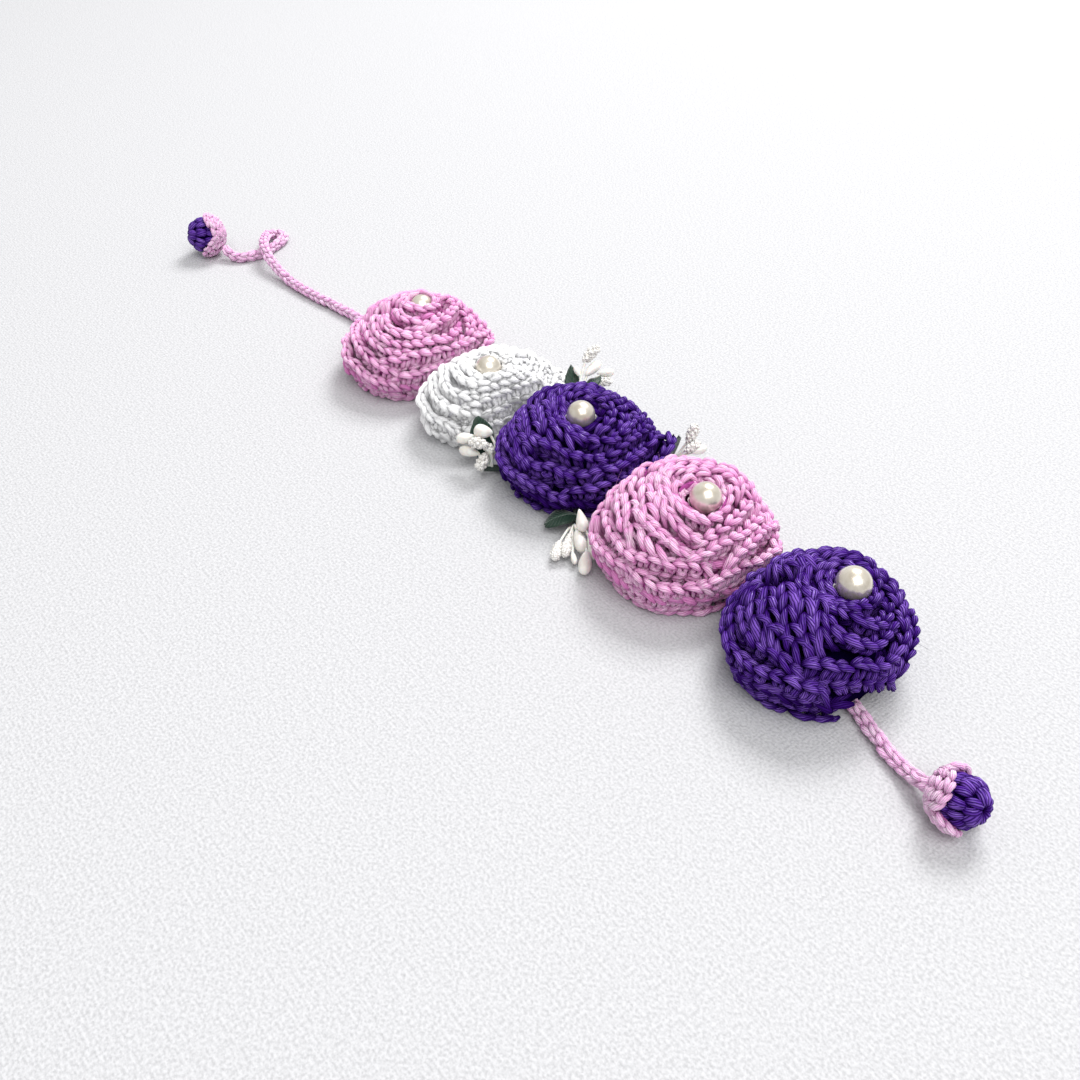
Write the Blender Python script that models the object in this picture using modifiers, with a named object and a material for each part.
"""Crocheted rose gajra, laid out straight: a wrist garland of five yarn roses.

Five crocheted roses are sewn in a row on a flat crocheted band. Each rose is a
strip of yarn petals rolled up in layers, with a bead pearl sewn into its heart.
Four sprays of craft stamens and leaves are tucked under the middle rose. A tie
cord runs on from each end of the band and ends in a bell-shaped crocheted bud.

The origin is on the flat underside of the band, below the middle rose. +X runs
along the garland towards its short tie, +Z is up, and the garland lies on z = 0.
Sizes below are in millimetres and degrees, and MM turns them into metres.
"""

import math

import bmesh
import bpy
from mathutils import Vector

MM = 0.001
CLEARANCE = 0.3

# Yarn and bead colours, as the material gives them: linear red, green, blue.
PINK = (0.76, 0.36, 0.62)
PURPLE = (0.085, 0.03, 0.30)
WHITE = (0.86, 0.86, 0.87)
PEARL = (0.87, 0.84, 0.78)
STAMEN = (0.88, 0.87, 0.82)
LEAF = (0.01, 0.055, 0.03)

# Each rose: its middle, its width along and across the band, its height, where
# its outer petals part (joint, in degrees), the gap they leave there, the corner
# that stands out (angle, reach), where its rim is off the ground (angle, height,
# spread in radians), the walls to its neighbours, and the pearl's middle and size.
ROSES = {
    "rose_1": dict(colour=PINK, middle=(-71.6, -1.6), along=43.5, across=48.5, height=21.6,
                   joint=45, notch=0, flare=(40, 1.2), lift=(0, 0, 1), left=None,
                   right=(-52.4, 0.0), pearl=(-73.0, 2.4, 19.4), pearl_size=7.4),
    "rose_2": dict(colour=WHITE, middle=(-35.7, 0.4), along=38.6, across=47.0, height=20.2,
                   joint=75, notch=0, flare=(75, 1.0), lift=(0, 0, 1), left=(-52.4, 0.0),
                   right=(-19.0, -0.22), pearl=(-34.6, -1.4, 17.6), pearl_size=7.4),
    "rose_3": dict(colour=PURPLE, middle=(1.6, 1.9), along=45.5, across=47.5, height=22.4,
                   joint=52, notch=0, flare=(43, 2.4), lift=(-66, 3.4, 1.1), left=(-18.6, -0.22),
                   right=(24.8, 0.0), pearl=(3.4, 0.2, 21.4), pearl_size=7.5),
    "rose_4": dict(colour=PINK, middle=(45.0, -2.2), along=45.5, across=47.6, height=24.6,
                   joint=15, notch=0, flare=(27, 1.6), lift=(0, 0, 1), left=(22.5, 0.0),
                   right=(68.0, -0.08), pearl=(49.9, -1.4, 23.4), pearl_size=7.7),
    "rose_5": dict(colour=PURPLE, middle=(87.4, -2.2), along=41.6, across=45.8, height=24.6,
                   joint=-36, notch=18, flare=(-56, 1.0), lift=(-4, 2.8, 0.5), left=(66.3, -0.08),
                   right=None, pearl=(90.6, 1.7, 23.6), pearl_size=8.0),
}

# Rings of petals from the curl in the heart to the rim: the ring's radius as a
# share of the rose's, its number of petals, and the degrees that each petal spans.
RINGS = (
    (0.115, 1, 300),
    (0.28, 2, 212),
    (0.445, 3, 146),
    (0.61, 4, 110),
    (0.775, 4, 110),
    (0.94, 5, 88),
)
RING_TURN = 77            # how far each ring is turned from the one inside it
PETAL_THICKNESS = 1.3
PETAL_PITCH = 1.0         # how far a petal's ends stand in and out of its ring
PETAL_LEAN = 2.2          # how far a petal's foot stands inside its edge
PETAL_ROLL = 0.8          # how far its edge rolls outwards
PETAL_DROOP = 1.5         # how far its corners sink
PETAL_STEP = 26           # degrees between the points of a petal
DOME_DROP = 0.70          # share of the height that the rim lies below the heart
DOME_POWER = 2.9
CORE_DEPTH = 5.0          # how far the core lies below the petals' edges
CORE_SHARE = 0.84         # the core's radius as a share of the rose's
SQUEEZE = 4.5             # over which a rose flattens against its neighbour
WALL_OVER = 0.8           # how far past the wall between them that flattening aims

BAND_WIDTH = 5.6
BAND_THICKNESS = 2.1
BAND_ENDS = (-80.0, 90.0)

CORD_SIZE = 3.5
CORD_STEP = 4.4           # between the points of a tie cord's tube
FAR_TIE = (
    (-80.4, 0.0, 1.75), (-90.0, -0.4, 1.75), (-100.0, -0.8, 1.75), (-110.6, -1.3, 1.75),
    (-121.7, -3.0, 1.75), (-132.0, -4.7, 1.75), (-141.6, -5.6, 1.9), (-149.5, -5.9, 2.8),
    (-156.8, -5.6, 4.4), (-162.8, -4.6, 5.8), (-168.4, -2.3, 6.1), (-173.2, 0.7, 5.2),
    (-177.2, 3.4, 3.7), (-179.8, 5.7, 2.6), (-180.2, 8.6, 1.9), (-178.0, 10.2, 1.75),
    (-175.5, 8.9, 1.75), (-173.4, 6.2, 1.75), (-171.6, 2.4, 1.75), (-170.2, -1.9, 1.75),
    (-169.8, -6.0, 1.75), (-170.7, -9.6, 1.75), (-172.6, -11.9, 2.0), (-175.0, -13.0, 2.9),
    (-177.6, -13.5, 4.2),
)
NEAR_TIE = (
    (90.5, 0.0, 1.75), (93.4, -0.2, 1.75), (96.9, -3.0, 1.75), (100.9, -6.1, 1.75),
    (105.6, -7.9, 1.75), (111.0, -9.9, 1.75), (116.4, -11.6, 1.8), (120.2, -12.7, 2.3),
    (123.4, -13.4, 3.2), (126.4, -13.9, 4.5),
)

# Straight grooves under the end roses that the ties run out through.
TIE_GROOVES = {
    "rose_1": (((-79.0, 0.0), (-100.0, -0.8)),),
    "rose_5": (((89.0, 0.0), (96.4, -0.6)), ((92.6, 0.3), (104.0, -8.2)),
               ((99.0, -5.3), (114.0, -11.0))),
}

# Each bud: the middle of its ball, the ball's radius, the calyx's outer radius
# and how far the calyx's four petals are turned about the bud's own axis.
BUDS = {
    "far": dict(tie=FAR_TIE, middle=(-184.3, -17.2, 7.7), ball=5.9, calyx=7.7, turn=20),
    "near": dict(tie=NEAR_TIE, middle=(133.4, -14.0, 7.0), ball=5.3, calyx=6.95, turn=65),
}
BALL_RIDGES = 9
CALYX_PETALS = 4
CALYX_REACH = (64, 104)   # degrees that the calyx covers, between its petals and at them

# Each spray: the angle and the distance from the middle rose at which it comes
# out, its stamens (tip, width, length) and its leaves (tip, width).
SPRAYS = {
    "a": dict(angle=137, out=26.0,
              stamens=(((-26.0, 29.6, 16.4), 3.2, 5.0), ((-23.0, 30.3, 12.5), 3.4, 6.0),
                       ((-20.3, 33.6, 9.5), 3.0, 5.5), ((-16.4, 30.6, 8.2), 2.8, 5.0)),
              leaves=(((-27.2, 24.2, 11.4), 4.8), ((-12.2, 28.4, 6.0), 4.6))),
    "b": dict(angle=229, out=26.0,
              stamens=(((-19.4, -17.2, 11.6), 3.6, 5.5), ((-22.6, -21.6, 8.5), 3.0, 6.0),
                       ((-17.7, -19.9, 8.8), 3.0, 4.5), ((-20.4, -22.6, 5.4), 2.8, 6.0),
                       ((-13.6, -21.8, 4.8), 3.2, 4.5)),
              leaves=(((-18.6, -13.8, 12.6), 5.0),)),
    "c": dict(angle=-43, out=26.4,
              stamens=(((21.8, -15.9, 9.4), 2.8, 6.0), ((28.6, -21.7, 3.6), 3.4, 6.0),
                       ((34.4, -25.6, 2.0), 3.4, 6.5), ((26.2, -26.6, 2.2), 3.2, 5.5),
                       ((27.8, -24.6, 2.8), 3.0, 5.5)),
              leaves=(((20.2, -24.4, 3.0), 5.2),)),
    "d": dict(angle=58, out=26.0,
              stamens=(((17.0, 30.5, 12.0), 3.0, 5.5), ((19.2, 30.1, 9.5), 2.8, 5.5),
                       ((20.7, 30.6, 7.0), 3.0, 5.5)),
              leaves=(((13.0, 28.6, 8.4), 4.8),)),
}
STALK_RADIUS = 1.0        # bound wires of a spray, tucked under the rose
STALK_HEIGHT = 1.7
STALK_TUCK = 9.0          # how far they reach in under the petals
STEM_RADIUS = 0.45
LEAF_THICKNESS = 0.7
THREAD_RADIUS = 0.35


def clear_scene():
    for thing in list(bpy.data.objects):
        bpy.data.objects.remove(thing, do_unlink=True)


def new_collection(name):
    group = bpy.data.collections.new(name)
    bpy.context.scene.collection.children.link(group)
    return group


def plain_material(name, colour, roughness=0.7):
    material = bpy.data.materials.new(name)
    material.use_nodes = True
    shader = material.node_tree.nodes["Principled BSDF"]
    shader.inputs["Base Color"].default_value = (*colour, 1.0)
    shader.inputs["Roughness"].default_value = roughness
    material.diffuse_color = (*colour, 1.0)
    return material


def add_mesh(name, group, material, bm):
    """Turn a bmesh worked out in millimetres into a named object in metres."""
    bmesh.ops.recalc_face_normals(bm, faces=bm.faces)
    if bm.calc_volume(signed=True) < 0:
        bmesh.ops.reverse_faces(bm, faces=bm.faces)
    bmesh.ops.scale(bm, vec=(MM, MM, MM), verts=bm.verts)
    mesh = bpy.data.meshes.new(name)
    bm.to_mesh(mesh)
    bm.free()
    mesh.materials.append(material)
    made = bpy.data.objects.new(name, mesh)
    group.objects.link(made)
    return made


def apply_modifiers(made):
    """Keep what the object's modifiers give as its own mesh."""
    bpy.context.view_layer.update()
    graph = bpy.context.evaluated_depsgraph_get()
    mesh = bpy.data.meshes.new_from_object(made.evaluated_get(graph))
    made.modifiers.clear()
    made.data = mesh


def drop(group):
    for thing in list(group.objects):
        bpy.data.objects.remove(thing, do_unlink=True)
    bpy.data.collections.remove(group)


def fill_hollows(made):
    """Drop the inner skins that joining leaves, so that the solid has no sealed hollow."""
    bm = bmesh.new()
    bm.from_mesh(made.data)
    left = set(bm.faces)
    islands = []
    while left:
        reached = [left.pop()]
        for face in reached:
            for edge in face.edges:
                if len(edge.link_faces) == 2:
                    fresh = [other for other in edge.link_faces if other in left]
                    left.difference_update(fresh)
                    reached.extend(fresh)
        islands.append(reached)
    islands.sort(key=len)
    for island in islands[:-1]:
        bmesh.ops.delete(bm, geom=island, context="FACES")
    bm.to_mesh(made.data)
    bm.free()


def combine(made, group, operation):
    """Join the collection's objects to this one, or cut them out of it."""
    modifier = made.modifiers.new(operation.title(), "BOOLEAN")
    modifier.operation = operation
    modifier.operand_type = "COLLECTION"
    modifier.collection = group
    modifier.solver = "MANIFOLD"
    apply_modifiers(made)
    fill_hollows(made)
    drop(group)


def tube(name, group, material, points, radius, sides=2):
    """A tube along points in millimetres, as a mesh with its caps welded."""
    curve = bpy.data.curves.new(name, "CURVE")
    curve.dimensions = "3D"
    curve.bevel_depth = radius * MM
    curve.bevel_resolution = sides
    curve.use_fill_caps = True
    spline = curve.splines.new("POLY")
    spline.points.add(len(points) - 1)
    for slot, point in zip(spline.points, points):
        slot.co = (point[0] * MM, point[1] * MM, point[2] * MM, 1.0)
    guide = bpy.data.objects.new(name + "_guide", curve)
    group.objects.link(guide)
    bpy.context.view_layer.update()
    graph = bpy.context.evaluated_depsgraph_get()
    mesh = bpy.data.meshes.new_from_object(guide.evaluated_get(graph))
    bpy.data.objects.remove(guide, do_unlink=True)
    bm = bmesh.new()
    bm.from_mesh(mesh)
    bmesh.ops.remove_doubles(bm, verts=bm.verts, dist=0.00001)
    bmesh.ops.recalc_face_normals(bm, faces=bm.faces)
    bm.to_mesh(mesh)
    bm.free()
    mesh.materials.clear()
    mesh.materials.append(material)
    made = bpy.data.objects.new(name, mesh)
    group.objects.link(made)
    return made


def smooth_route(points, step):
    """Points every step along a smooth curve through the given ones."""
    route = [Vector(p) for p in points]
    ends = [2 * route[0] - route[1]] + route + [2 * route[-1] - route[-2]]
    dense = []
    for a, b, c, d in zip(ends, ends[1:], ends[2:], ends[3:]):
        for i in range(12):
            t = i / 12
            dense.append(0.5 * (2 * b + (c - a) * t + (2 * a - 5 * b + 4 * c - d) * t * t
                                + (3 * b - a - 3 * c + d) * t ** 3))
    dense.append(route[-1])
    lengths = [0.0]
    for a, b in zip(dense, dense[1:]):
        lengths.append(lengths[-1] + (b - a).length)
    count = max(2, round(lengths[-1] / step))
    picked = []
    at = 0
    for i in range(count + 1):
        want = lengths[-1] * i / count
        while at < len(dense) - 2 and lengths[at + 1] < want:
            at += 1
        part = (want - lengths[at]) / (lengths[at + 1] - lengths[at])
        picked.append(dense[at].lerp(dense[at + 1], min(1.0, part)))
    return picked


def box_along(name, group, material, start, end, width, low, high):
    """A box over the straight line from start to end, between two heights."""
    bm = bmesh.new()
    bmesh.ops.create_cube(bm, size=1.0)
    run = Vector((end[0] - start[0], end[1] - start[1], 0))
    ahead = run.normalized()
    side = Vector((-ahead.y, ahead.x, 0))
    for v in bm.verts:
        flat = Vector((start[0], start[1], 0)) + run * (v.co.x + 0.5) + side * (v.co.y * width)
        v.co = (flat.x, flat.y, low + (high - low) * (v.co.z + 0.5))
    return add_mesh(name, group, material, bm)


def edge_height(rose, share):
    """Height of the petals' edges at a share of the rose's radius."""
    return rose["height"] * (1 - DOME_DROP * share ** DOME_POWER)


def squeeze(value, limit, sign):
    """Flatten what reaches past a wall, without letting it cross the wall."""
    start = limit - SQUEEZE * sign
    over = (value - start) * sign
    if over <= 0:
        return value
    return start + sign * SQUEEZE * (1 - math.exp(-over / SQUEEZE))


def seat_in_row(rose, point):
    """Press a point of a rose back from the slanted walls to its neighbours."""
    x, y, z = point
    for wall, sign in ((rose["left"], -1), (rose["right"], 1)):
        if wall:
            x = squeeze(x, wall[0] + wall[1] * z + WALL_OVER * sign, sign)
    return x, y, z


def around(rose, share, angle, out, z):
    """A point of the rose, from its ring, its angle in degrees and what it stands out."""
    long_half = rose["along"] / 2
    wide_half = rose["across"] / 2
    turn = math.radians(angle)
    x = rose["middle"][0] + (long_half * share + out) * math.cos(turn)
    y = rose["middle"][1] + (wide_half * share + out) * math.sin(turn)
    return seat_in_row(rose, (x, y, z))


def bump(angle, middle, spread):
    """1 at an angle of the rose, falling off to 0 over a spread in radians."""
    apart = math.radians(angle - middle)
    return math.exp(-(math.atan2(math.sin(apart), math.cos(apart)) / spread) ** 2)


def lifted(rose, angle):
    """How far the rim's foot is off the ground."""
    middle, height, spread = rose["lift"]
    return height * bump(angle, middle, spread)


def petal_place(rose, ring, t, v, angle):
    """A point in the middle of a petal: t runs -1 to 1 along it, v 0 to 1 up it."""
    share = RINGS[ring][0]
    rim = ring == len(RINGS) - 1
    lean = PETAL_LEAN * (1.5 if rim else min(1.0, 2.4 * share))
    top = edge_height(rose, share) - PETAL_DROOP * abs(t) ** 3
    foot = 0.6 + lifted(rose, angle) if rim else max(0.6, edge_height(rose, share) - CORE_DEPTH - 2.5)
    out = -lean * (1 - v) ** 1.5 + PETAL_ROLL * v ** 3 + PETAL_PITCH * t
    if rim:
        stand = bump(angle, rose["flare"][0], 0.22)
        out += rose["flare"][1] * stand * v
        top += rose["flare"][1] * stand
    return around(rose, share, angle, out - PETAL_ROLL, foot + (top - foot) * v)


def petal_angles(rose, ring):
    """Where each petal of a ring starts and ends, in degrees."""
    _, count, span = RINGS[ring]
    last = len(RINGS) - 1
    turn = rose["joint"] + RING_TURN * (ring - last)
    for i in range(count):
        middle = turn + 360 / count * (i + 0.5)
        start, end = middle - span / 2, middle + span / 2
        if ring == last and i == 0:
            start += rose["notch"] / 2
        if ring == last and i == count - 1:
            end -= rose["notch"] / 2
        yield start, end


def petal(name, group, material, rose, ring, start, end):
    """One petal: a curved grid given its thickness."""
    steps = max(4, round((end - start) / PETAL_STEP))
    rows = 2 if ring == len(RINGS) - 1 else 1
    bm = bmesh.new()
    bmesh.ops.create_grid(bm, x_segments=steps, y_segments=rows, size=1.0)
    for vertex in bm.verts:
        t, v = vertex.co.x, (vertex.co.y + 1) / 2
        angle = start + (end - start) * (t + 1) / 2
        vertex.co = petal_place(rose, ring, t, v, angle)
    made = add_mesh(name, group, material, bm)
    wall = made.modifiers.new("Thickness", "SOLIDIFY")
    wall.thickness = PETAL_THICKNESS * MM
    wall.offset = 0.0
    apply_modifiers(made)
    return made


def rose_core(name, group, material, rose):
    """The rolled foot of the strip: a low dome that all petals grow from."""
    bm = bmesh.new()
    bmesh.ops.create_uvsphere(bm, u_segments=16, v_segments=8, radius=1.0)
    for v in bm.verts:
        share = CORE_SHARE * math.hypot(v.co.x, v.co.y)
        angle = math.degrees(math.atan2(v.co.y, v.co.x))
        if v.co.z > 0.01:
            up = edge_height(rose, share) - CORE_DEPTH
        elif v.co.z > -0.01:
            up = 1.6 + lifted(rose, angle)
        else:
            up = 0.0
            share *= 1 - 0.12 * lifted(rose, angle) / 3.4
        v.co = around(rose, share, angle, 0, up)
    return add_mesh(name, group, material, bm)


def ball(name, group, material, middle, radius, rings=8):
    bm = bmesh.new()
    bmesh.ops.create_uvsphere(bm, u_segments=2 * rings, v_segments=rings, radius=radius)
    bmesh.ops.translate(bm, vec=middle, verts=bm.verts)
    return add_mesh(name, group, material, bm)


def thread_ends(rose, reach):
    """Both ends of the sewing thread's straight way through a pearl."""
    middle = Vector(rose["pearl"])
    way = Vector((0.63, 0.78, 0.0)) * reach
    return middle - way, middle + way


def rose_cutters(name, rose, material):
    """What a rose makes room for: its pearl and thread, the band and the wires."""
    group = new_collection(name + "_cutters")
    radius = rose["pearl_size"] / 2
    ball(name + "_seat", group, material, rose["pearl"], radius + CLEARANCE, 5)
    tube(name + "_eye", group, material, thread_ends(rose, radius + 2.2),
         THREAD_RADIUS + CLEARANCE, 1)
    low = -1.0
    ends = (BAND_ENDS[0] - CLEARANCE, 0.0), (BAND_ENDS[1] + CLEARANCE, 0.0)
    box_along(name + "_band", group, material, *ends,
              BAND_WIDTH + 2 * CLEARANCE, low, BAND_THICKNESS + CLEARANCE)
    width = CORD_SIZE + 4 * CLEARANCE
    for i, (start, end) in enumerate(TIE_GROOVES.get(name, ())):
        box_along(f"{name}_tie_{i}", group, material, start, end, width, low, CORD_SIZE + 2 * CLEARANCE)
    if name == "rose_3":
        for key, spray in SPRAYS.items():
            inner, outer = stalk_line(spray)
            box_along(name + "_wire_" + key, group, material, inner, outer,
                      2 * (STALK_RADIUS + CLEARANCE), low, STALK_HEIGHT + STALK_RADIUS + CLEARANCE)
    return group


def build_rose(name, rose, group):
    material = plain_material(name + "_yarn", rose["colour"])
    made = rose_core(name, group, material, rose)
    petals = new_collection(name + "_petals")
    for ring in range(len(RINGS)):
        for i, (start, end) in enumerate(petal_angles(rose, ring)):
            petal(f"{name}_petal_{ring}_{i}", petals, material, rose, ring, start, end)
    combine(made, petals, "UNION")
    combine(made, rose_cutters(name, rose, material), "DIFFERENCE")
    return made


def build_pearl(index, rose, group):
    """A bead pearl with a bore across it, and the thread that sews it on."""
    radius = rose["pearl_size"] / 2
    material = plain_material(f"pearl_{index}_coat", PEARL, 0.2)
    made = ball(f"pearl_{index}", group, material, rose["pearl"], radius, 7)
    bore = new_collection("bore")
    tube("bore_cutter", bore, material, thread_ends(rose, radius + 1), THREAD_RADIUS + CLEARANCE, 1)
    combine(made, bore, "DIFFERENCE")
    thread = plain_material(f"pearl_thread_{index}_cotton", WHITE)
    tube(f"pearl_thread_{index}", group, thread, thread_ends(rose, radius + 1.6), THREAD_RADIUS, 0)


def build_band(group):
    box_along("rose_band", group, plain_material("band_yarn", PINK), (BAND_ENDS[0], 0), (BAND_ENDS[1], 0),
              BAND_WIDTH, 0.0, BAND_THICKNESS)


def bud_frame(bud):
    """The bud's axis, from where its tie comes in, and two directions across it."""
    axis = (Vector(bud["middle"]) - Vector(bud["tie"][-1])).normalized()
    side = axis.cross(Vector((0, 0, 1))).normalized()
    return axis, side, side.cross(axis)


def bud_point(bud, radius, polar, turn):
    """A point at a distance from the bud's middle, polar degrees from its tie."""
    axis, side, up = bud_frame(bud)
    away, about = math.radians(polar), math.radians(turn + bud["turn"])
    across = side * math.cos(about) + up * math.sin(about)
    return Vector(bud["middle"]) + (axis * -math.cos(away) + across * math.sin(away)) * radius


def build_bud(name, bud, group):
    """A crocheted ball in a calyx of four rounded petals."""
    purple = plain_material(f"bud_{name}_ball_yarn", PURPLE)
    pink = plain_material(f"bud_{name}_calyx_yarn", PINK)
    bm = bmesh.new()
    bmesh.ops.create_uvsphere(bm, u_segments=18, v_segments=7, radius=1.0)
    for v in bm.verts:
        polar, turn = math.degrees(math.acos(max(-1, min(1, -v.co.z)))), math.atan2(v.co.y, v.co.x)
        dent = 0.03 * math.sin(math.radians(polar)) * math.cos(BALL_RIDGES * turn)
        v.co = bud_point(bud, bud["ball"] * (0.94 + dent), polar, math.degrees(turn))
    add_mesh(f"bud_{name}_ball", group, purple, bm)

    thickness = bud["calyx"] - bud["ball"] - CLEARANCE
    bm = bmesh.new()
    bmesh.ops.create_uvsphere(bm, u_segments=16, v_segments=8, radius=1.0)
    top = max(bm.verts, key=lambda v: v.co.z)
    bmesh.ops.delete(bm, geom=[top], context="VERTS")
    low_share = 7 / 8
    for v in bm.verts:
        polar = math.acos(max(-1, min(1, -v.co.z))) / math.pi / low_share
        turn = math.atan2(v.co.y, v.co.x)
        petal_share = abs(math.cos(CALYX_PETALS / 2 * turn)) ** 0.6
        reach = CALYX_REACH[0] + (CALYX_REACH[1] - CALYX_REACH[0]) * petal_share
        v.co = bud_point(bud, bud["calyx"] - thickness / 2, polar * reach, math.degrees(turn))
    made = add_mesh(f"bud_{name}_calyx", group, pink, bm)
    wall = made.modifiers.new("Thickness", "SOLIDIFY")
    wall.thickness = thickness * MM
    wall.offset = 0.0
    apply_modifiers(made)


def stalk_line(spray):
    """Inner and outer end of a spray's bound wires, under the middle rose."""
    middle = Vector((*ROSES["rose_3"]["middle"], 0))
    turn = math.radians(spray["angle"])
    away = Vector((math.cos(turn), math.sin(turn), 0))
    return middle + away * (spray["out"] - STALK_TUCK), middle + away * spray["out"]


def stamen(name, group, material, root, tip, width, length):
    """A thin stem that ends in a drop-shaped head."""
    root, tip = Vector(root), Vector(tip)
    ahead = (tip - root).normalized()
    neck = tip - ahead * length
    bow = (root + neck) / 2 + Vector((0, 0, 0.12 * (neck - root).length))
    tube(name + "_stem", group, material, smooth_route((root, bow, neck + ahead), 4.0),
         STEM_RADIUS, 0)
    bm = bmesh.new()
    bmesh.ops.create_uvsphere(bm, u_segments=7, v_segments=5, radius=0.5)
    side = ahead.orthogonal().normalized()
    up = ahead.cross(side)
    for v in bm.verts:
        along = v.co.z + 0.5
        wide = width * (0.62 + 0.62 * along)
        v.co = neck + ahead * length * along + (side * v.co.x + up * v.co.y) * wide
    add_mesh(name + "_head", group, material, bm)


def leaf(name, group, material, root, tip, width):
    """A pointed blade with a raised rib, arched over its length."""
    root, tip = Vector(root), Vector(tip)
    run = tip - root
    side = run.cross(Vector((0, 0, 1))).normalized()
    bm = bmesh.new()
    bmesh.ops.create_grid(bm, x_segments=6, y_segments=2, size=1.0)
    for v in bm.verts:
        s = (v.co.x + 1) / 2
        half = width / 2 * (0.16 + 0.84 * math.sin(math.pi * min(1, s * 0.97 + 0.03)) ** 0.8)
        arch = 1.2 * math.sin(math.pi * s) + 0.5 * (1 - abs(v.co.y))
        v.co = root + run * s + side * v.co.y * half + Vector((0, 0, arch))
    made = add_mesh(name, group, material, bm)
    wall = made.modifiers.new("Thickness", "SOLIDIFY")
    wall.thickness = LEAF_THICKNESS * MM
    wall.offset = 0.0
    apply_modifiers(made)


def build_spray(key, spray, group):
    """Stamens with their bound wires under the rose, and leaves beside them."""
    inner, outer = stalk_line(spray)
    lift = Vector((0, 0, STALK_HEIGHT))
    white = plain_material(f"spray_{key}_stamens_craft", STAMEN)
    green = plain_material(f"spray_{key}_leaf_craft", LEAF)
    made = tube(f"spray_{key}_stamens", group, white, (inner + lift, outer + lift), STALK_RADIUS, 2)
    heads = new_collection(f"spray_{key}_heads")
    ahead = (outer - inner).normalized()
    for i, (tip, width, length) in enumerate(spray["stamens"]):
        root = outer + lift - ahead * (0.6 + 0.3 * i)
        stamen(f"spray_{key}_{i}", heads, white, root, tip, width, length)
    combine(made, heads, "UNION")

    side = Vector((-ahead.y, ahead.x, 0))
    for i, (tip, width) in enumerate(spray["leaves"]):
        sign = 1 if (Vector(tip) - outer).dot(side) > 0 else -1
        root = outer + lift + side * sign * (STALK_RADIUS + CLEARANCE + 1.5) - ahead * 0.2
        leaf(f"spray_{key}_leaf_{i + 1}", group, green, root, tip, width)


def build_garland():
    clear_scene()
    group = new_collection("rose_gajra")
    build_band(group)
    for name, rose in ROSES.items():
        build_rose(name, rose, group)
        build_pearl(int(name[-1]), rose, group)
    for name, bud in BUDS.items():
        cord = plain_material(f"tie_cord_{name}_yarn", PINK)
        route = smooth_route(bud["tie"], CORD_STEP)
        tube(f"tie_cord_{name}", group, cord, route, CORD_SIZE / 2)
        build_bud(name, bud, group)
    for key, spray in SPRAYS.items():
        build_spray(key, spray, group)


build_garland()
